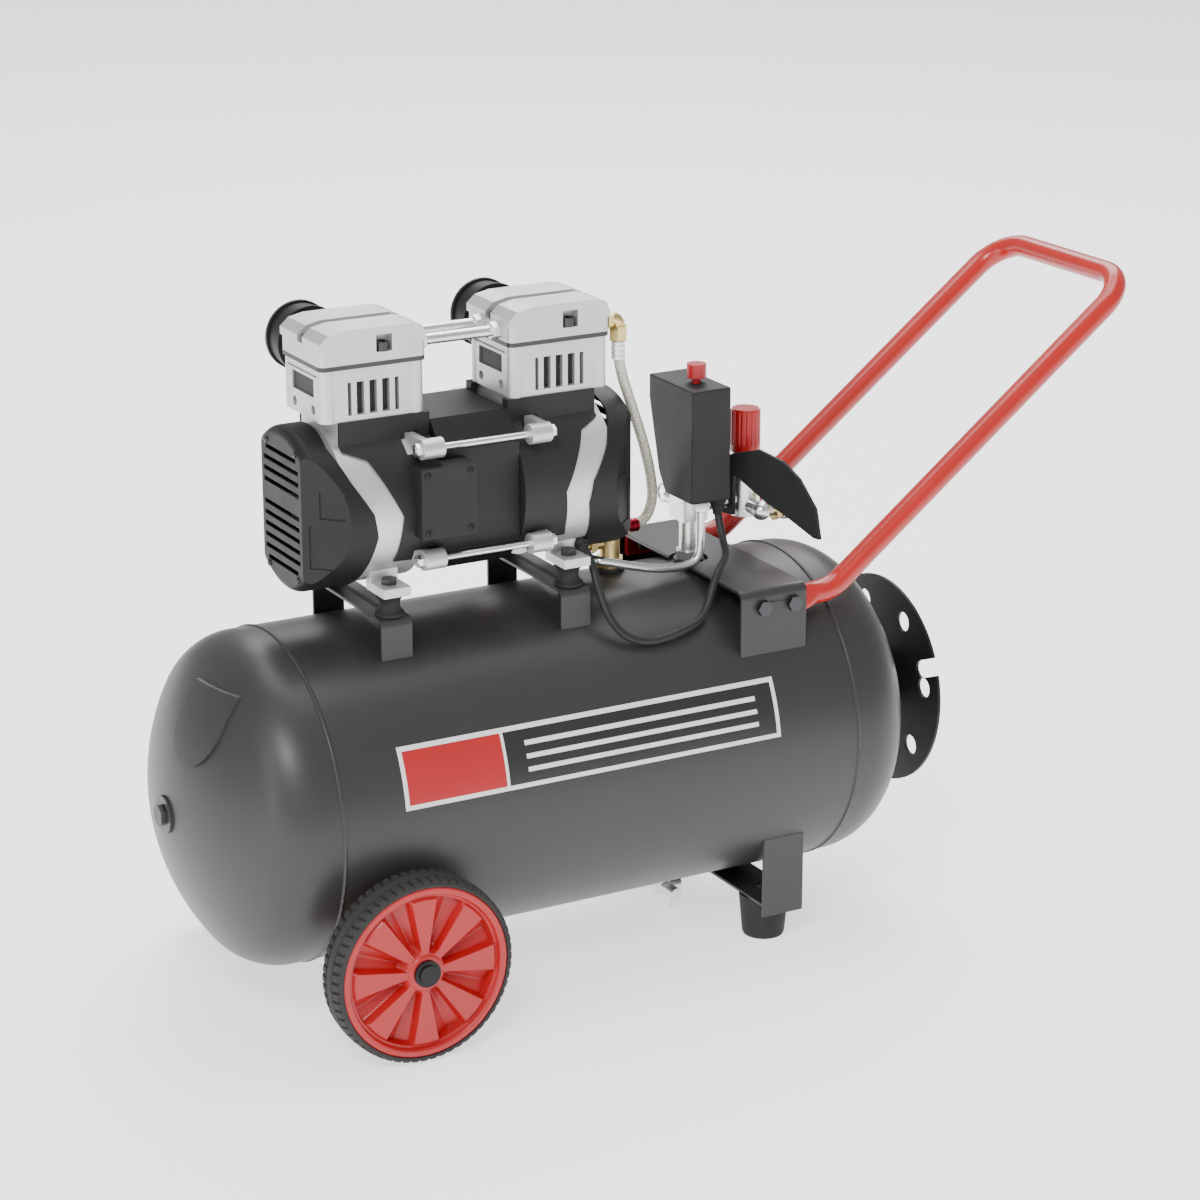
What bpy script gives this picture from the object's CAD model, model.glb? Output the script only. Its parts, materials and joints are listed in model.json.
"""Looks of a wheeled twin-cylinder air compressor: materials and detailed pieces over its CAD model."""

import json
import math

import bpy
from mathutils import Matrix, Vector


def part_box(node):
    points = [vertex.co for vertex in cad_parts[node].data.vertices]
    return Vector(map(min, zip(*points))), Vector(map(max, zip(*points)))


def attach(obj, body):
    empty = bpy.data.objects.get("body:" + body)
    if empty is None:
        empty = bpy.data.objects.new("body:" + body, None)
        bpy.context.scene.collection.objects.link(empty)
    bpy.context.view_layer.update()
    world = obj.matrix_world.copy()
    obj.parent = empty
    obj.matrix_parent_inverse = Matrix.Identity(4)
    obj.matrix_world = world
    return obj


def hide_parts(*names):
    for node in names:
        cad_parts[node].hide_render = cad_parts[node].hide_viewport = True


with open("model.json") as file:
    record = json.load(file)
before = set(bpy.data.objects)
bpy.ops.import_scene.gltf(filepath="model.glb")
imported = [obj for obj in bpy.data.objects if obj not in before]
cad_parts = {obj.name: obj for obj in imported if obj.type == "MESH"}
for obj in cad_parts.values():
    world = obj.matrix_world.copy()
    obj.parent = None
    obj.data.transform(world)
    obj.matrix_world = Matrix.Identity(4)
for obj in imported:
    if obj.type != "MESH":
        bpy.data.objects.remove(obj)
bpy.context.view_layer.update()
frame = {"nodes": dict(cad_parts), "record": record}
MM = 0.001

# ---------------------------------------------------------------- camera and studio

CAMERA_TARGET = Vector((-0.037, 0.008, 0.320))
CAMERA_DISTANCE = 3.0895
CAMERA_AZIMUTH = math.radians(29.08)
CAMERA_ELEVATION = math.radians(18.14)
CAMERA_LENS = 100.84
SENSOR_WIDTH = 36

SURROUND_STRENGTH = 0.62
FLOOR_HALF_SIDE = 24
FLOOR_COLOUR = (0.93, 0.93, 0.93, 1)
FLOOR_GLOW = 1.2
WHITE = (1, 1, 1, 1)
# name, place, aimed at, size (all in metres), power in watts
LIGHTS = (
    ("key", (-1.7, -2.0, 2.4), (0, 0, 0.3), (1.0, 0.8), 62),
    ("left_strip", (-2.4, -0.9, 0.9), (-0.2, 0, 0.25), (0.4, 1.6), 12),
    ("top", (0.2, 0.3, 2.6), (0, 0, 0.2), (1.8, 1.2), 34),
    ("floor_wash", (1.6, 2.6, 3.2), (0.6, 1.6, 0), (3.0, 2.0), 130),
)


def add_camera():
    """The camera looks along its own -Z; azimuth 0 looks along +Y."""
    cos_e = math.cos(CAMERA_ELEVATION)
    forward = Vector((math.sin(CAMERA_AZIMUTH) * cos_e, math.cos(CAMERA_AZIMUTH) * cos_e,
                      -math.sin(CAMERA_ELEVATION)))
    data = bpy.data.cameras.new("camera")
    data.lens = CAMERA_LENS
    data.sensor_width = SENSOR_WIDTH
    cam = bpy.data.objects.new("camera", data)
    cam.location = CAMERA_TARGET - forward * CAMERA_DISTANCE
    cam.rotation_euler = (math.pi / 2 - CAMERA_ELEVATION, 0, -CAMERA_AZIMUTH)
    bpy.context.collection.objects.link(cam)
    bpy.context.scene.camera = cam


def add_area(name, place, target, size, power):
    """A rectangular lamp that faces its target."""
    data = bpy.data.lights.new(name, "AREA")
    data.shape = "RECTANGLE"
    data.size, data.size_y = size
    data.energy = power
    lamp = bpy.data.objects.new(name, data)
    lamp.location = place
    lamp.rotation_euler = (Vector(target) - Vector(place)).to_track_quat("-Z", "Y").to_euler()
    bpy.context.collection.objects.link(lamp)


def add_studio():
    """Pale glowing floor, bright surround and four soft boxes."""
    world = bpy.data.worlds.new("surround")
    world.use_nodes = True
    background = world.node_tree.nodes["Background"]
    background.inputs["Color"].default_value = WHITE
    background.inputs["Strength"].default_value = SURROUND_STRENGTH
    bpy.context.scene.world = world
    for row in LIGHTS:
        add_area(*row)
    side = FLOOR_HALF_SIDE
    mesh = bpy.data.meshes.new("floor")
    mesh.from_pydata([(-side, -side, 0), (side, -side, 0), (side, side, 0), (-side, side, 0)], [],
                     [(0, 1, 2, 3)])
    floor = bpy.data.objects.new("floor", mesh)
    bpy.context.collection.objects.link(floor)
    mat = bpy.data.materials.new("floor_white")
    mat.use_nodes = True
    shader = mat.node_tree.nodes["Principled BSDF"]
    shader.inputs["Base Color"].default_value = FLOOR_COLOUR
    shader.inputs["Roughness"].default_value = 0.7
    shader.inputs["Emission Color"].default_value = WHITE
    shader.inputs["Emission Strength"].default_value = FLOOR_GLOW
    floor.data.materials.append(mat)


# ---------------------------------------------------------------- materials


NOISE_ROUGHNESS = 0.55


class Paint:
    """Builds one procedural material from object coordinates, in metres."""

    def __init__(self, name, roughness, metallic=0.0, coat=0.0, coat_roughness=0.1, specular=0.5):
        self.mat = bpy.data.materials.new(name)
        self.mat.use_nodes = True
        self.tree = self.mat.node_tree
        self.shader = self.tree.nodes["Principled BSDF"]
        self.shader.inputs["Metallic"].default_value = metallic
        self.shader.inputs["Roughness"].default_value = roughness
        self.shader.inputs["Coat Weight"].default_value = coat
        self.shader.inputs["Coat Roughness"].default_value = coat_roughness
        self.shader.inputs["Specular IOR Level"].default_value = specular
        self.coords = self.tree.nodes.new("ShaderNodeTexCoord").outputs["Object"]
        self.height = None

    def stretch(self, scale):
        """Object coordinates scaled by axis, so that a pattern runs along one of them."""
        node = self.tree.nodes.new("ShaderNodeMapping")
        node.inputs["Scale"].default_value = scale
        self.tree.links.new(self.coords, node.inputs["Vector"])
        return node.outputs["Vector"]

    def noise(self, scale, detail, stretch=None):
        node = self.tree.nodes.new("ShaderNodeTexNoise")
        node.inputs["Scale"].default_value = scale
        node.inputs["Detail"].default_value = detail
        node.inputs["Roughness"].default_value = NOISE_ROUGHNESS
        self.tree.links.new(self.stretch(stretch) if stretch else self.coords, node.inputs["Vector"])
        return node.outputs["Fac"]

    def voronoi(self, scale):
        node = self.tree.nodes.new("ShaderNodeTexVoronoi")
        node.inputs["Scale"].default_value = scale
        self.tree.links.new(self.coords, node.inputs["Vector"])
        return node.outputs["Distance"]

    def ramp(self, value, stops):
        """Turns a value into a colour; each stop is a place from 0 to 1 and its colour."""
        node = self.tree.nodes.new("ShaderNodeValToRGB")
        self.tree.links.new(value, node.inputs["Fac"])
        ramp = node.color_ramp
        while len(ramp.elements) < len(stops):
            ramp.elements.new(0.5)
        for element, (place, colour) in zip(ramp.elements, stops):
            element.position = place
            element.color = (*colour, 1)
        return node.outputs["Color"]

    def colour(self, value, stops):
        self.tree.links.new(self.ramp(value, stops), self.shader.inputs["Base Color"])

    def rough(self, value, low, high):
        """Lets the roughness wander between two limits."""
        node = self.tree.nodes.new("ShaderNodeMapRange")
        node.inputs["To Min"].default_value = low
        node.inputs["To Max"].default_value = high
        self.tree.links.new(value, node.inputs["Value"])
        self.tree.links.new(node.outputs["Result"], self.shader.inputs["Roughness"])

    def bump(self, value, strength, distance):
        """Adds one layer of bump on top of the layers before it."""
        node = self.tree.nodes.new("ShaderNodeBump")
        node.inputs["Strength"].default_value = strength
        node.inputs["Distance"].default_value = distance
        self.tree.links.new(value, node.inputs["Height"])
        if self.height:
            self.tree.links.new(self.height, node.inputs["Normal"])
        self.height = node.outputs["Normal"]
        self.tree.links.new(self.height, self.shader.inputs["Normal"])


def near(base, spread):
    """Two stops around a base colour, for slow variation."""
    darker = tuple(c * (1 - spread) for c in base)
    lighter = tuple(c * (1 + spread) for c in base)
    return [(0.3, darker), (0.7, lighter)]


def powder_coat(name, base, roughness):
    p = Paint(name, roughness=roughness, coat=0.12, coat_roughness=0.3, specular=0.4)
    p.colour(p.noise(6, 4), near(base, 0.06))
    p.rough(p.noise(9, 3), roughness - 0.05, roughness + 0.07)
    p.bump(p.noise(900, 2), 0.10, 0.0004)
    return p.mat


def cast_metal(name, base):
    roughness = 0.42
    p = Paint(name, metallic=0.75, roughness=roughness)
    p.colour(p.noise(35, 5), near(base, 0.05))
    p.rough(p.noise(60, 4), roughness - 0.06, roughness + 0.10)
    p.bump(p.noise(1400, 3), 0.22, 0.0004)
    p.bump(p.voronoi(700), 0.10, 0.0003)
    return p.mat


def textured_plastic(name, base, roughness):
    p = Paint(name, roughness=roughness, specular=0.28)
    p.colour(p.noise(12, 4), near(base, 0.10))
    p.rough(p.noise(40, 3), roughness - 0.06, roughness + 0.08)
    p.bump(p.voronoi(1500), 0.16, 0.0003)
    return p.mat


def gloss_plastic(name, base, roughness):
    p = Paint(name, roughness=roughness, coat=0.2, coat_roughness=0.15)
    p.colour(p.noise(10, 3), near(base, 0.05))
    p.rough(p.noise(25, 4), roughness - 0.05, roughness + 0.10)
    p.bump(p.noise(400, 2), 0.06, 0.0003)
    return p.mat


def rubber(name, base, roughness=0.78):
    p = Paint(name, roughness=roughness, specular=0.35)
    p.colour(p.noise(20, 5), near(base, 0.18))
    p.rough(p.noise(70, 4), roughness - 0.10, roughness + 0.10)
    p.bump(p.noise(900, 4), 0.20, 0.0004)
    return p.mat


def plated_steel(name, base, roughness=0.28):
    """Bright metal with fine polishing marks."""
    along = (1, 1, 14)
    p = Paint(name, metallic=1.0, roughness=roughness)
    p.colour(p.noise(30, 4), near(base, 0.06))
    p.rough(p.noise(160, 4, stretch=along), roughness - 0.08, roughness + 0.12)
    p.bump(p.noise(500, 3, stretch=along), 0.05, 0.0002)
    return p.mat


def laminated(name):
    """Thin steel sheets stacked along X, under black varnish."""
    p = Paint(name, metallic=0.3, roughness=0.45)
    p.colour(p.noise(15, 4), near((0.006, 0.006, 0.0065), 0.2))
    wave = p.tree.nodes.new("ShaderNodeTexWave")
    wave.bands_direction = "X"
    wave.inputs["Scale"].default_value = 320
    p.tree.links.new(p.coords, wave.inputs["Vector"])
    p.bump(wave.outputs["Fac"], 0.35, 0.0004)
    return p.mat


def braided(name):
    """Crossing bands, like a woven steel or textile sleeve."""
    p = Paint(name, metallic=0.35, roughness=0.45)
    p.colour(p.voronoi(520), [(0.0, (0.78, 0.76, 0.66)), (0.6, (0.45, 0.44, 0.36))])
    p.bump(p.voronoi(520), 0.5, 0.0006)
    return p.mat


MATERIALS = {}


def make_materials():
    MATERIALS.update({
        "tank_paint": powder_coat("tank_paint", (0.026, 0.0255, 0.0255), 0.42),
        "cast_aluminium": cast_metal("cast_aluminium", (0.62, 0.62, 0.63)),
        "dark_casting": textured_plastic("dark_casting", (0.015, 0.015, 0.0155), 0.5),
        "black_plastic": textured_plastic("black_plastic", (0.010, 0.010, 0.0105), 0.48),
        "red_plastic": gloss_plastic("red_plastic", (0.40, 0.003, 0.005), 0.42),
        "handle_paint": gloss_plastic("handle_paint", (0.42, 0.012, 0.008), 0.25),
        "rubber": rubber("rubber", (0.014, 0.014, 0.014), 0.7),
        "tyre_rubber": rubber("tyre_rubber", (0.028, 0.027, 0.026)),
        "zinc_steel": plated_steel("zinc_steel", (0.78, 0.79, 0.80)),
        "dark_steel": plated_steel("dark_steel", (0.075, 0.075, 0.08), 0.42),
        "laminations": laminated("laminations"),
        "copper_winding": plated_steel("copper_winding", (0.60, 0.22, 0.08), 0.35),
        "brass": plated_steel("brass", (0.72, 0.56, 0.25), 0.3),
        "braided_hose": braided("braided_hose"),
        "dark_red_anodised": plated_steel("dark_red_anodised", (0.30, 0.012, 0.03), 0.35),
        "decal_white": gloss_plastic("decal_white", (0.75, 0.75, 0.75), 0.35),
        "decal_red": gloss_plastic("decal_red", (0.40, 0.004, 0.008), 0.45),
        "decal_black": gloss_plastic("decal_black", (0.012, 0.012, 0.012), 0.35),
        "lead_sheath": rubber("lead_sheath", (0.016, 0.016, 0.017), 0.5),
    })


# widths of the rounded edges in millimetres, for the nodes that aren't at the usual width
SMALL_EDGE = 0.5
EDGE_WIDTHS = {"head_lid_left": 2.0, "head_lid_right": 2.0, "cylinder_left": 1.4, "cylinder_right": 1.4,
               "crankcase_left": 1.5, "crankcase_right": 1.5, "end_bell_left": 1.5, "end_bell_right": 1.5,
               "pressure_switch": 1.6, "outlet_panel": 0.8, "terminal_box": 2.0}
PLAIN_EDGES = {"tank_shell", "tank_head_left", "tank_head_right", "stator_windings", "pistons", "rotor",
               "motor_shaft", "shaft_bearings", "discharge_hose", "unloader_tube", "motor_cable", "handle",
               "wheel_near", "wheel_far", "tyre_near", "tyre_far", "gauge_needle", "safety_ring"}
WELD_DISTANCE = 0.00001
EDGE_ANGLE = math.radians(35)


def dress_cad_nodes():
    """Every CAD node gets its slot's material and, where its edges show, a small rounding."""
    slots = {row["node"]: row["material_slot"] for row in frame["record"]["subparts"]}
    for name, obj in frame["nodes"].items():
        obj.data.materials.clear()
        obj.data.materials.append(MATERIALS[slots[name]])
        if name in PLAIN_EDGES:
            continue
        weld = obj.modifiers.new("join_faces", "WELD")
        weld.merge_threshold = WELD_DISTANCE
        bevel = obj.modifiers.new("round_edges", "BEVEL")
        bevel.width = EDGE_WIDTHS.get(name, SMALL_EDGE) * MM
        bevel.segments = 2
        bevel.limit_method = "ANGLE"
        bevel.angle_limit = EDGE_ANGLE
        bevel.miter_outer = "MITER_ARC"
        normals = obj.modifiers.new("even_normals", "WEIGHTED_NORMAL")
        normals.keep_sharp = True


# ---------------------------------------------------------------- places and mesh helpers

SHELL_LOW, SHELL_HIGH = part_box("tank_shell")
MIDDLE_X = (SHELL_LOW.x + SHELL_HIGH.x) / 2
TANK_Z = (SHELL_LOW.z + SHELL_HIGH.z) / 2
TANK_R = 0.150
SHARP_ANGLE = math.radians(40)


def at(x, y, z):
    """A place measured in millimetres from under the tank's middle."""
    return Vector((MIDDLE_X + x * MM, y * MM, z * MM))


def add_piece(name, verts, faces, body, slot, replaces=()):
    """One visible mesh piece: smooth shaded, sharp only where its faces turn by more than SHARP_ANGLE."""
    mesh = bpy.data.meshes.new(name)
    mesh.from_pydata([tuple(v) for v in verts], [], faces)
    mesh.update()
    mesh.polygons.foreach_set("use_smooth", [True] * len(mesh.polygons))
    mesh.set_sharp_from_angle(angle=SHARP_ANGLE)
    mesh.materials.append(MATERIALS[slot])
    obj = bpy.data.objects.new(name, mesh)
    bpy.context.collection.objects.link(obj)
    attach(obj, body)
    if replaces:
        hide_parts(*replaces)


def loft(rings, closed=False):
    """Faces over equal rings of points; the ends are capped unless the loft closes on itself."""
    sides = len(rings[0])
    verts = [p for ring in rings for p in ring]
    faces = []
    for i in range(len(rings) if closed else len(rings) - 1):
        a, b = i * sides, (i + 1) % len(rings) * sides
        for k in range(sides):
            n = (k + 1) % sides
            faces.append((a + k, a + n, b + n, b + k))
    if not closed:
        faces.append(tuple(reversed(range(sides))))
        faces.append(tuple(range(len(verts) - sides, len(verts))))
    return verts, faces


def tangent(points, i):
    """The direction of a route at one of its points."""
    last = len(points) - 1
    return (points[min(i + 1, last)] - points[max(i - 1, 0)]).normalized()


def section(place, along, side, half_u, half_v, sides, square=2.0):
    """One rounded section across a route; square 2 is an ellipse, more is boxier."""
    u = along.cross(side).normalized()
    v = along.cross(u)
    ring = []
    for k in range(sides):
        c, s = math.cos(2 * math.pi * k / sides), math.sin(2 * math.pi * k / sides)
        ring.append(place + u * half_u * math.copysign(abs(c) ** (2 / square), c)
                    + v * half_v * math.copysign(abs(s) ** (2 / square), s))
    return ring


def curve_through(points, steps):
    """The smooth curve through hand-set points that the CAD's leads follow."""
    out = []
    for i in range(len(points) - 1):
        a, b = points[max(i - 1, 0)], points[i]
        c, d = points[i + 1], points[min(i + 2, len(points) - 1)]
        for j in range(steps):
            t = j / steps
            out.append(0.5 * (2 * b + (c - a) * t + (2 * a - 5 * b + 4 * c - d) * t * t
                              + (3 * b - a - 3 * c + d) * t * t * t))
    return out + [points[-1]]


def smooth_step(value, low, high):
    """0 below low, 1 above high, and an easy curve between them."""
    t = min(max((value - low) / (high - low), 0), 1)
    return t * t * (3 - 2 * t)


# ---------------------------------------------------------------- handle

HANDLE_R = 10.5
HANDLE_Y = 101.5
HANDLE_Z = 333
HANDLE_SLOPE = math.radians(37.8)
HANDLE_LEG = 414
HANDLE_SIDES = 40
BEND_X = 255
LOW_BEND = 42
BEND_STEPS = 16
CORNER = 38
CORNER_STEPS = 24
# the flattened end: where it lies, its half sizes, and the stretch of X where it turns round
FLAT_Y = -110.4
FLAT_HALF_THICK = 3
FLAT_HALF_HIGH = 11.5
FLAT_ROWS = (160, 161, 163, 180, 200, 212, 216, 219, 222, 225, 228, 231, 234, 237)
FLAT_TO_ROUND = (214, 237)
ROUND, FLAT = 2, 5


def handle_half():
    """(place, half width, half height, squareness) from the flattened end to the middle of the bar."""
    up = Vector((math.cos(HANDLE_SLOPE), 0, math.sin(HANDLE_SLOPE)))
    foot = Vector((BEND_X, -HANDLE_Y, HANDLE_Z))
    top = foot + HANDLE_LEG * up
    bend_set = LOW_BEND * math.tan(HANDLE_SLOPE / 2)
    rows = []
    for x in FLAT_ROWS:
        t = smooth_step(x, *FLAT_TO_ROUND)
        end = 0.8 if x == FLAT_ROWS[0] else 1.0
        rows.append((Vector((x, FLAT_Y + (-HANDLE_Y - FLAT_Y) * t, HANDLE_Z)),
                     (FLAT_HALF_THICK + (HANDLE_R - FLAT_HALF_THICK) * t) * end,
                     (FLAT_HALF_HIGH + (HANDLE_R - FLAT_HALF_HIGH) * t) * end,
                     FLAT + (ROUND - FLAT) * t))
    for i in range(BEND_STEPS + 1):
        a = i * HANDLE_SLOPE / BEND_STEPS
        place = foot + Vector((LOW_BEND * math.sin(a) - bend_set, 0, LOW_BEND * (1 - math.cos(a))))
        rows.append((place, HANDLE_R, HANDLE_R, ROUND))
    for i in range(CORNER_STEPS + 1):
        a = i * math.pi / (2 * CORNER_STEPS)
        place = top - CORNER * (1 - math.sin(a)) * up + Vector((0, CORNER * (1 - math.cos(a)), 0))
        rows.append((place, HANDLE_R, HANDLE_R, ROUND))
    return rows


def make_handle():
    """The bent tube, from one flattened end round the cross bar to the other."""
    near_side = handle_half()
    far_side = [(Vector((p.x, -p.y, p.z)), a, b, n) for p, a, b, n in reversed(near_side)]
    rows = near_side + far_side
    side = Vector((-math.sin(HANDLE_SLOPE), 0, math.cos(HANDLE_SLOPE)))
    places = [at(*row[0]) for row in rows]
    rings = [section(places[i], tangent(places, i), side, a * MM, b * MM, HANDLE_SIDES, n)
             for i, (_, a, b, n) in enumerate(rows)]
    verts, faces = loft(rings)
    add_piece("push_handle", verts, faces, "root", "handle_paint", ["handle"])


# ---------------------------------------------------------------- wheels

WHEEL_X = -203
WHEEL_Z = 84.5
WHEEL_FACE = 187
WHEEL_STEPS = 360
WEDGES = 8
# one pocket: its wall in degrees from its middle, its inner and outer ends by radius, and its depth
WEDGE_WALL = (10.0, 12.2)
WEDGE_INNER = (17.5, 23)
WEDGE_OUTER = (66.5, 68.5)
WEDGE_DEPTH = 12.5
VALLEY_RISE = 4.5
RIM_STEP = (66, 67.5)
RIM_STEP_DEPTH = 2.4

TYRE_STEPS = 720
TYRE_R = 84.5
TYRE_MIDDLE = 17
TYRE_HALF_WIDTH = 17.3
CROWN_ROWS = 24
TREAD_DEPTH = 1.9
TREAD_PITCH = 6
TREAD_RING = 5.2


def wheel_profile(angle):
    """(radius, depth behind the outer face) all the way round one slice of a wheel, in millimetres."""
    turn = (math.degrees(angle) % (360 / WEDGES)) - 180 / WEDGES
    sunk = 1 - smooth_step(abs(turn), *WEDGE_WALL)
    valley = WEDGE_DEPTH - VALLEY_RISE * abs(turn) / 12
    face = [(6.06, 1), (7, 0.2), (10, 0), (14.5, 0), (15.6, 0.6), (16.4, 2.0)]
    for i in range(25):
        r = 17.2 + i * 2.13
        inner = smooth_step(r, *WEDGE_INNER)
        outer = 1 - smooth_step(r, *WEDGE_OUTER)
        groove = RIM_STEP_DEPTH * smooth_step(r, *RIM_STEP)
        face.append((r, 2.0 + groove + valley * sunk * inner * outer))
    rim = [(70.0, 4.6), (70.8, 3.6), (71.2, 1.2), (72.0, 0.3), (73, 0), (76, 0), (77.3, 0.4), (78, 1.4)]
    back = [(78, 10), (78, 24), (78, 32.6), (77.3, 33.6), (76, 34), (73, 34), (71.6, 33.4), (71, 32),
            (70.6, 21), (69.6, 19.4), (67, 18.6), (45, 18.6), (24, 18.6), (20.6, 19), (19.2, 20.5), (18, 24),
            (18, 32.8), (17, 33.9), (12, 34), (7, 34), (6.06, 33), (6.06, 17)]
    return face + rim + back


def tread_cut(angle, across):
    """Depth of the tread's grooves at one place on the tyre, in millimetres."""
    turn = (math.degrees(angle) / TREAD_PITCH + 0.35 * abs(across) / 17.5) % 1
    bar = 1 - smooth_step(abs(turn - 0.5), 0.10, 0.16)
    shoulder = smooth_step(abs(across), 5.5, 6.5)
    ring = 1 - smooth_step(abs(abs(across) - TREAD_RING), 0.5, 1.0)
    return TREAD_DEPTH * max(bar * shoulder, ring)


def tyre_profile(angle):
    """(radius, depth behind the outer face) round one slice of a tyre."""
    rows = [(78.06, 2.0), (78.06, -0.3), (78.8, -0.5), (80, -0.45), (80.8, -0.1), (81.4, 0.8)]
    for i in range(-CROWN_ROWS, CROWN_ROWS + 1):
        across = i * TYRE_HALF_WIDTH / CROWN_ROWS
        edge = smooth_step(abs(across), 14.5, TYRE_HALF_WIDTH)
        crown = TYRE_R - 1.6 * (across / TYRE_HALF_WIDTH) ** 2 - 2.4 * edge
        rows.append((crown - tread_cut(angle, across), TYRE_MIDDLE + across))
    rows += [(81.4, 33.2), (80.8, 34.1), (80, 34.45), (78.8, 34.5), (78.06, 34.3), (78.06, 32), (78.06, 17)]
    return rows


def spun(profile, steps, side):
    """A closed ring of slices about a wheel's axle; side is -1 for the near wheel and 1 for the far one."""
    rings = []
    for i in range(steps):
        angle = 2 * math.pi * i / steps * -side
        ring = [at(WHEEL_X + r * math.cos(angle), side * (WHEEL_FACE - depth), WHEEL_Z + r * math.sin(angle))
                for r, depth in profile(angle)]
        rings.append(ring)
    return loft(rings, closed=True)


def make_wheels():
    for side, name in ((-1, "near"), (1, "far")):
        body = f"wheel_{name}_body"
        verts, faces = spun(wheel_profile, WHEEL_STEPS, side)
        add_piece(f"wheel_disc_{name}", verts, faces, body, "red_plastic", [f"wheel_{name}"])
        verts, faces = spun(tyre_profile, TYRE_STEPS, side)
        add_piece(f"treaded_tyre_{name}", verts, faces, body, "tyre_rubber", [f"tyre_{name}"])


# ---------------------------------------------------------------- hoses and leads

HOSE_R = 4.6
VENT_R = 4
LEAD_R = 3.5
STRANDS = 8
STRAND_PITCH = 5.2
STRAND_RISE = 0.28
HOSE_ROUTE = [(72, -30, 574), (72, -30, 562), (78, -27, 540), (92, -20, 508), (110, -9, 470),
              (124, 2, 435), (130, 9, 410), (127, 13, 393), (118, 14, 386), (106, 14, 385)]
VENT_ROUTE = [(50, 3.8, 372), (50, -10, 372), (50, -22, 371.5), (54, -29, 371), (62, -30, 369),
              (85, -30, 362), (108, -30, 356), (130, -30, 353), (146, -30, 353.5), (155, -30, 358),
              (158.5, -30, 367), (159, -30, 380), (159, -30, 396), (159, -30, 412.8)]
LEAD_ROUTE = [(178, -28, 412.8), (178, -28, 402), (178, -31, 392), (176, -42, 376), (168, -60, 367),
              (147, -79, 357), (125, -92, 326), (98, -100, 318), (66, -101, 314), (44, -96, 321),
              (32, -86, 338), (29, -72, 360), (29, -58, 382), (25, -47, 398)]


def swept(route, radius, sides, side, steps):
    """A round line along a route of hand-set places."""
    places = curve_through([at(*p) for p in route], steps)
    return loft([section(places[i], tangent(places, i), side, radius * MM, radius * MM, sides)
                 for i in range(len(places))])


def braided_tube(route, radius, side):
    """A tube whose surface rises and falls in two crossing sets of strands."""
    places = curve_through([at(*p) for p in route], 40)
    sides = 48
    rings = []
    length = 0
    for i, place in enumerate(places):
        if i:
            length += (place - places[i - 1]).length / MM
        ring = section(place, tangent(places, i), side, radius * MM, radius * MM, sides)
        for k in range(sides):
            turn = k / sides
            over = math.sin(2 * math.pi * (turn * STRANDS + length / STRAND_PITCH))
            under = math.sin(2 * math.pi * (turn * STRANDS - length / STRAND_PITCH))
            outward = (ring[k] - place).normalized()
            ring[k] = ring[k] + outward * STRAND_RISE * MM * max(over, under)
        rings.append(ring)
    return loft(rings)


def make_lines():
    verts, faces = braided_tube(HOSE_ROUTE, HOSE_R, Vector((0, 1, 0.1)))
    add_piece("braided_discharge_hose", verts, faces, "root", "braided_hose", ["discharge_hose"])
    verts, faces = swept(VENT_ROUTE, VENT_R, 32, Vector((1, 1, 1)), 12)
    add_piece("bent_vent_pipe", verts, faces, "root", "zinc_steel", ["unloader_tube"])
    verts, faces = swept(LEAD_ROUTE, LEAD_R, 28, Vector((0.3, -0.8, 0.6)), 14)
    add_piece("motor_lead", verts, faces, "root", "lead_sheath", ["motor_cable"])


# ---------------------------------------------------------------- small turned pieces


def turned(name, origin, axis, profile, slot, sides=32, flats=0):
    """A turned piece: (distance along its axis, radius) rows; with flats it is a hexagon or a square."""
    axis = Vector(axis).normalized()
    side = Vector((0, 0, 1)) if abs(axis.z) < 0.9 else Vector((1, 0, 0))
    u = axis.cross(side).normalized()
    v = axis.cross(u)
    rings = []
    for along, radius in profile:
        ring = []
        for k in range(sides):
            a = 2 * math.pi * k / sides
            r = radius
            if flats:
                half = math.pi / flats
                r = radius * math.cos(half) / math.cos((a % (2 * half)) - half)
            ring.append(at(*origin) + (axis * along + (u * math.cos(a) + v * math.sin(a)) * r) * MM)
        rings.append(ring)
    verts, faces = loft(rings)
    add_piece(name, verts, faces, "root", slot)


def pan_head(radius, height):
    """Rows of a round screw head with a small socket."""
    return [(0, radius), (height * 0.5, radius), (height * 0.85, radius * 0.8), (height, radius * 0.45),
            (height, radius * 0.3), (height * 0.55, radius * 0.28), (height * 0.55, radius * 0.05)]


def ferrule(length, radius, ribs):
    """Rows of a crimped sleeve with grooves round it."""
    rows = [(0, radius - 0.8), (0.5, radius)]
    for i in range(ribs):
        start = length * (i + 0.6) / (ribs + 0.6)
        rows += [(start, radius), (start + 0.5, radius - 0.6),
                 (start + 1.1, radius - 0.6), (start + 1.6, radius)]
    return rows + [(length - 0.5, radius), (length, radius - 0.8)]


PUMP_X = -82
PUMP_Z = 455
CYLINDER_PITCH = 90
COVER_FACE = 161
TERMINAL_FACE_Y = -85
PLATED_NUT = [(0, 7.5), (0.8, 8), (8.2, 8), (9, 7.2)]
NUT_SIDES, NUT_FLATS = 36, 6

# the open gaps in a cylinder, measured from its middle
FIN_GAPS = ((-24, -20.6), (-15.4, -8.6), (-3.4, 3.4), (8.6, 15.4), (20.6, 24))
FIN_GAP_Z = (541.2, 569.8)
SIDE_GAP_Y = (-21.8, 21.8)
SIDE_GAP_Z = (556.2, 571.8)
SIDE_HOLE_Z = 545
BACK_THICK = 0.5


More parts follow.
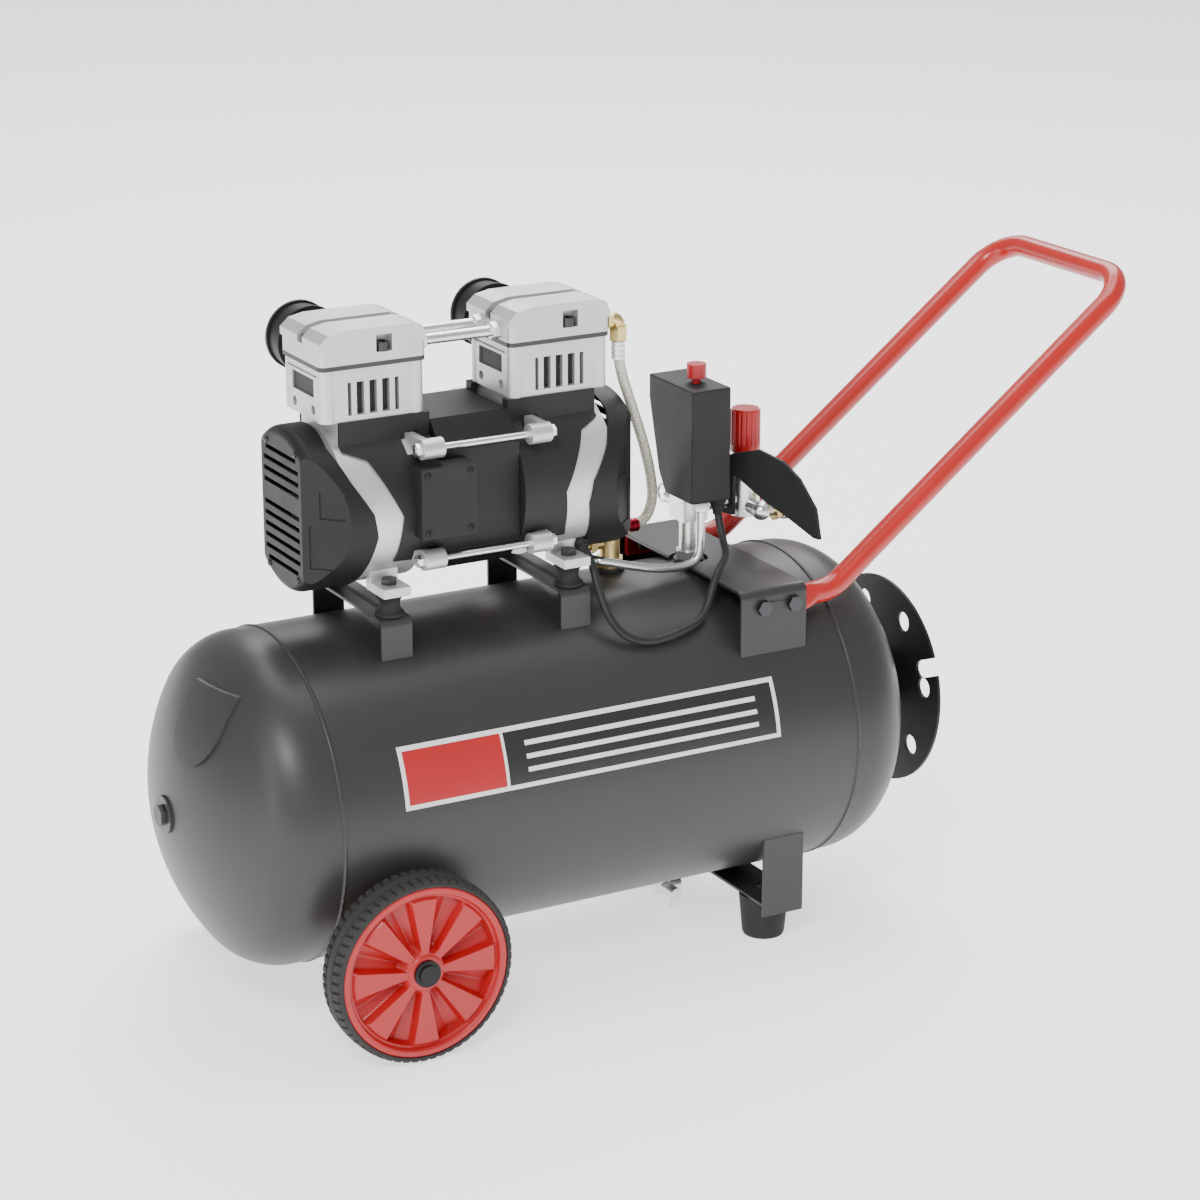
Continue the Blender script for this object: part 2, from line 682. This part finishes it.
def boxes(name, spans, slot):
    """One piece made of plain boxes: each row is a low corner and a high corner."""
    verts, faces = [], []
    for low, high in spans:
        first = len(verts)
        verts += [at(x, y, z) for z in (low[2], high[2]) for x, y in
                  ((low[0], low[1]), (high[0], low[1]), (high[0], high[1]), (low[0], high[1]))]
        for face in ((3, 2, 1, 0), (4, 5, 6, 7), (0, 1, 5, 4), (1, 2, 6, 5), (2, 3, 7, 6), (3, 0, 4, 7)):
            faces.append(tuple(first + i for i in face))
    add_piece(name, verts, faces, "root", slot)


def make_fin_gaps():
    """Black backs in the gaps between the cylinder fins, where the real castings are open and dark."""
    for name, side in (("left", -CYLINDER_PITCH), ("right", CYLINDER_PITCH)):
        x0 = PUMP_X + side
        spans = []
        for y in (-33.5, 33.0):
            for a, b in FIN_GAPS:
                spans.append(((x0 + a, y, FIN_GAP_Z[0]), (x0 + b, y + BACK_THICK, FIN_GAP_Z[1])))
        for x in (-46.5, 46.0):
            spans.append(((x0 + x, SIDE_GAP_Y[0], SIDE_GAP_Z[0]),
                          (x0 + x + BACK_THICK, SIDE_GAP_Y[1], SIDE_GAP_Z[1])))
        boxes(f"fin_gap_{name}", spans, "black_plastic")
        for x, way in ((-43.6, -1), (43.6, 1)):
            for y in (-20, 18):
                turned(f"side_hole_{name}_{way + 1}_{y + 20}", (x0 + x, y, SIDE_HOLE_Z), (way, 0, 0),
                       [(-0.5, 4), (0, 4)], "black_plastic", 24)


def make_hardware():
    """Crimps and nuts at the ends of the lines, the lead's glands, and the pump's small screws."""
    turned("hose_crimp_top", (72, -30, 573.5), (0, 0, -1), ferrule(17, 6.3, 3), "zinc_steel")
    turned("hose_crimp_low", (106.2, 14, 385), (1, 0, 0), ferrule(11, 6.3, 2), "dark_red_anodised")
    turned("vent_nut_low", (50, 1, 372), (0, -1, 0), PLATED_NUT, "zinc_steel", NUT_SIDES, NUT_FLATS)
    turned("vent_nut_top", (159, -30, 412.4), (0, 0, -1), PLATED_NUT, "zinc_steel", NUT_SIDES, NUT_FLATS)
    turned("lead_gland_low", (25, -47, 399), (-0.25, -0.62, -0.95),
           [(0, 6.6), (5, 6.8), (6, 5.6), (12, 4.8), (17, 4.2), (18, 3.7)], "rubber")
    turned("lead_gland_top", (178, -28, 412.9), (0, 0, -1),
           [(0, 8), (4, 8), (5, 7), (8, 6.4), (8.4, 5), (15, 4.4), (16, 3.8)], "rubber")
    for x in (-62, -21):
        for z in (-14, 37):
            turned(f"box_screw_{x + 62}_{z + 14}", (PUMP_X + x, TERMINAL_FACE_Y, PUMP_Z + z), (0, -1, 0),
                   pan_head(2.9, 1.8), "black_plastic")
    for side, name in ((-1, "left"), (1, "right")):
        for y in (-1, 1):
            for z in (-1, 1):
                turned(f"cover_screw_{name}_{y + 1}_{z + 1}",
                       (PUMP_X + side * COVER_FACE, y * 30, PUMP_Z + z * 56), (side, 0, 0), pan_head(3, 1.6),
                       "dark_steel")


# ---------------------------------------------------------------- decal on the tank

DECAL_X = (-201, 175)
DECAL_Z = (219, 271)
DECAL_BORDER = 4
DECAL_RED_SHARE = 0.26
DECAL_STRIPES = ((232, 236), (243, 247), (254, 258))
X_STEPS, ARC_STEPS = 48, 12
# how far each layer stands off the tank, in metres
GLUE_LINE = 0.00005
EDGE_PROUD = 0.00025
BLOCK_PROUD = 0.00038
STRIPE_PROUD = 0.0005


def wrapped_patch(name, x_range, z_range, proud, slot):
    """A thin patch laid on the near side of the tank, between two heights."""
    low, high = (math.asin((z * MM - TANK_Z) / TANK_R) for z in z_range)
    outer, inner = TANK_R + proud, TANK_R + GLUE_LINE
    rings = []
    for i in range(X_STEPS + 1):
        x = x_range[0] + (x_range[1] - x_range[0]) * i / X_STEPS
        ring = []
        for r, order in ((outer, range(ARC_STEPS + 1)), (inner, range(ARC_STEPS, -1, -1))):
            for j in order:
                a = low + (high - low) * j / ARC_STEPS
                ring.append(Vector((MIDDLE_X + x * MM, -r * math.cos(a), TANK_Z + r * math.sin(a))))
        rings.append(ring)
    verts, faces = loft(rings)
    add_piece(name, verts, faces, "root", slot)


def make_decal():
    """A plain label: a white edge, a red block, and a dark block with three white stripes."""
    (x0, x1), (z0, z1) = DECAL_X, DECAL_Z
    b = DECAL_BORDER
    split = x0 + DECAL_RED_SHARE * (x1 - x0)
    wrapped_patch("decal_edge", (x0, x1), (z0, z1), EDGE_PROUD, "decal_white")
    wrapped_patch("decal_red_block", (x0 + b, split), (z0 + b, z1 - b), BLOCK_PROUD, "decal_red")
    wrapped_patch("decal_dark_block", (split + 3, x1 - b), (z0 + b, z1 - b), BLOCK_PROUD, "decal_black")
    for i, heights in enumerate(DECAL_STRIPES):
        wrapped_patch(f"decal_stripe_{i}", (split + 22, x1 - 22), heights, STRIPE_PROUD, "decal_white")


def main():
    add_camera()
    add_studio()
    make_materials()
    dress_cad_nodes()
    make_handle()
    make_wheels()
    make_lines()
    make_hardware()
    make_fin_gaps()
    make_decal()


main()
